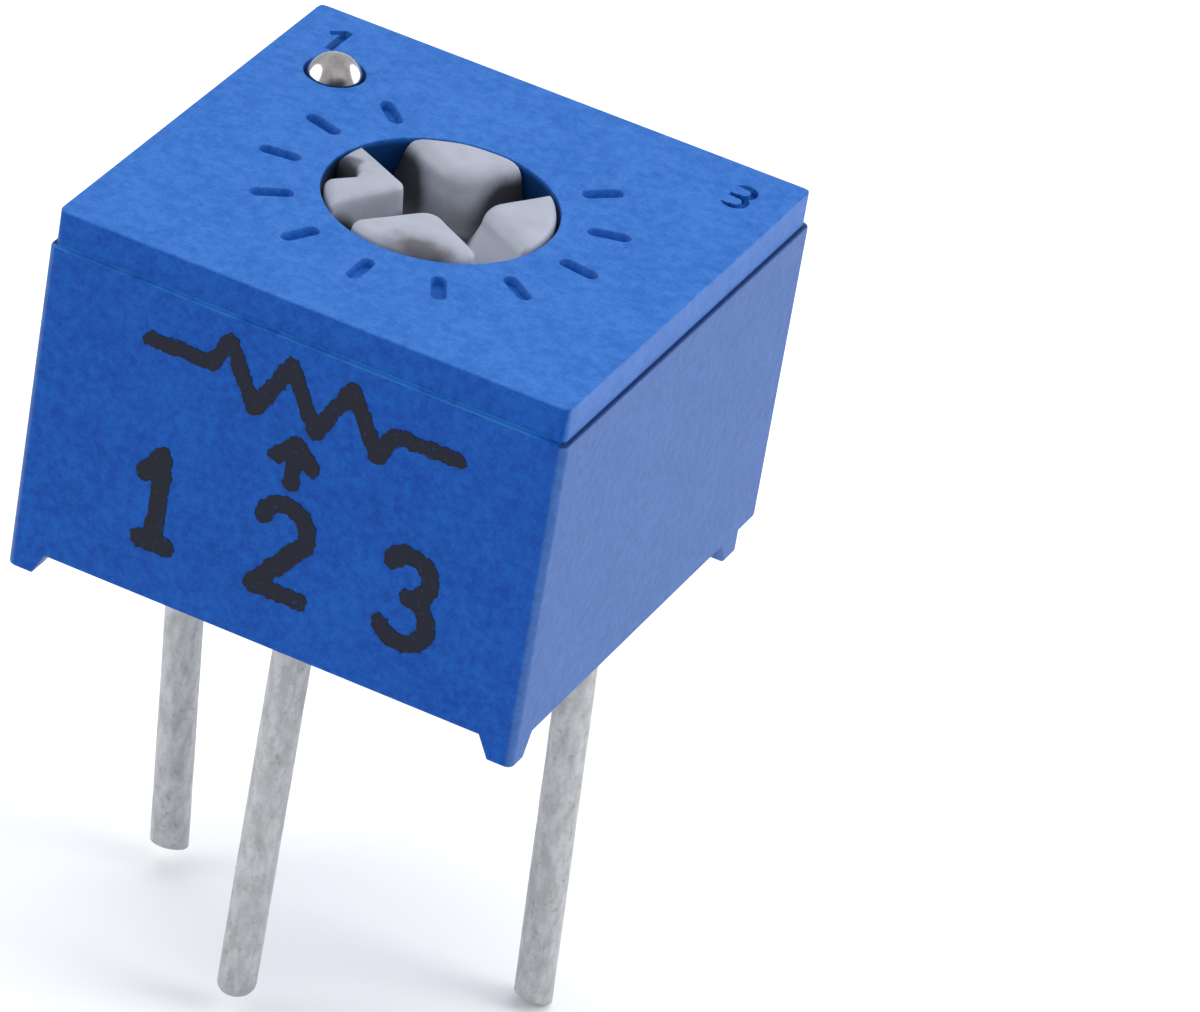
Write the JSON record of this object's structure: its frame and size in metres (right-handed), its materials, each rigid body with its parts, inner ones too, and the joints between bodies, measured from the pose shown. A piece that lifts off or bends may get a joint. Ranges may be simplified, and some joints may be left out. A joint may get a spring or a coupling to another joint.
{
  "type": "trimmer potentiometer",
  "caption": "Small square sealed trimmer potentiometer with a cross-slotted rotor in its top face and round wire leads for a circuit board below.",
  "frame": {"origin": "on the rotor's axis, at the board surface that the four feet stand on", "axes": "+Z along the rotor's axis, out of the top face; -Y towards the face with the middle lead below it; +X towards lead 3"},
  "size_m": [0.007, 0.0066, 0.0108],
  "materials": {
    "blue_case": "moulded blue thermoplastic, fine matte grain",
    "steel_ball": "bright steel ball",
    "grey_rotor": "moulded light grey thermoplastic, satin",
    "seal_rubber": "silicone rubber",
    "spring_alloy": "precious-metal spring strip",
    "ceramic": "fired alumina",
    "cermet": "fired resistive ink",
    "conductor": "fired silver-palladium ink",
    "tinned_wire": "dull tinned copper, mottled",
    "solder": "solder",
    "potting": "cured epoxy, satin"
  },
  "bodies": {
    "case": {"housing": "blue_case", "vent_ball": "steel_ball", "rotor_seal": "seal_rubber", "ceramic_base": "ceramic", "resistive_track": "cermet", "collector_pad": "conductor", "end_pad_1": "conductor", "end_pad_3": "conductor", "lead_1": "tinned_wire", "lead_2": "tinned_wire", "lead_3": "tinned_wire", "solder_joint_1": "solder", "solder_joint_2": "solder", "solder_joint_3": "solder", "epoxy_seal": "potting"},
    "rotor_set": {"rotor": "grey_rotor", "contact_spring": "spring_alloy"}
  },
  "joints": [
    {"name": "rotor_turn", "type": "hinge", "parent": "case", "child": "rotor_set", "pos_m": [0, 0, 0.0045], "axis": [0, 0, 1], "range_deg": [-60, 210]}
  ]
}
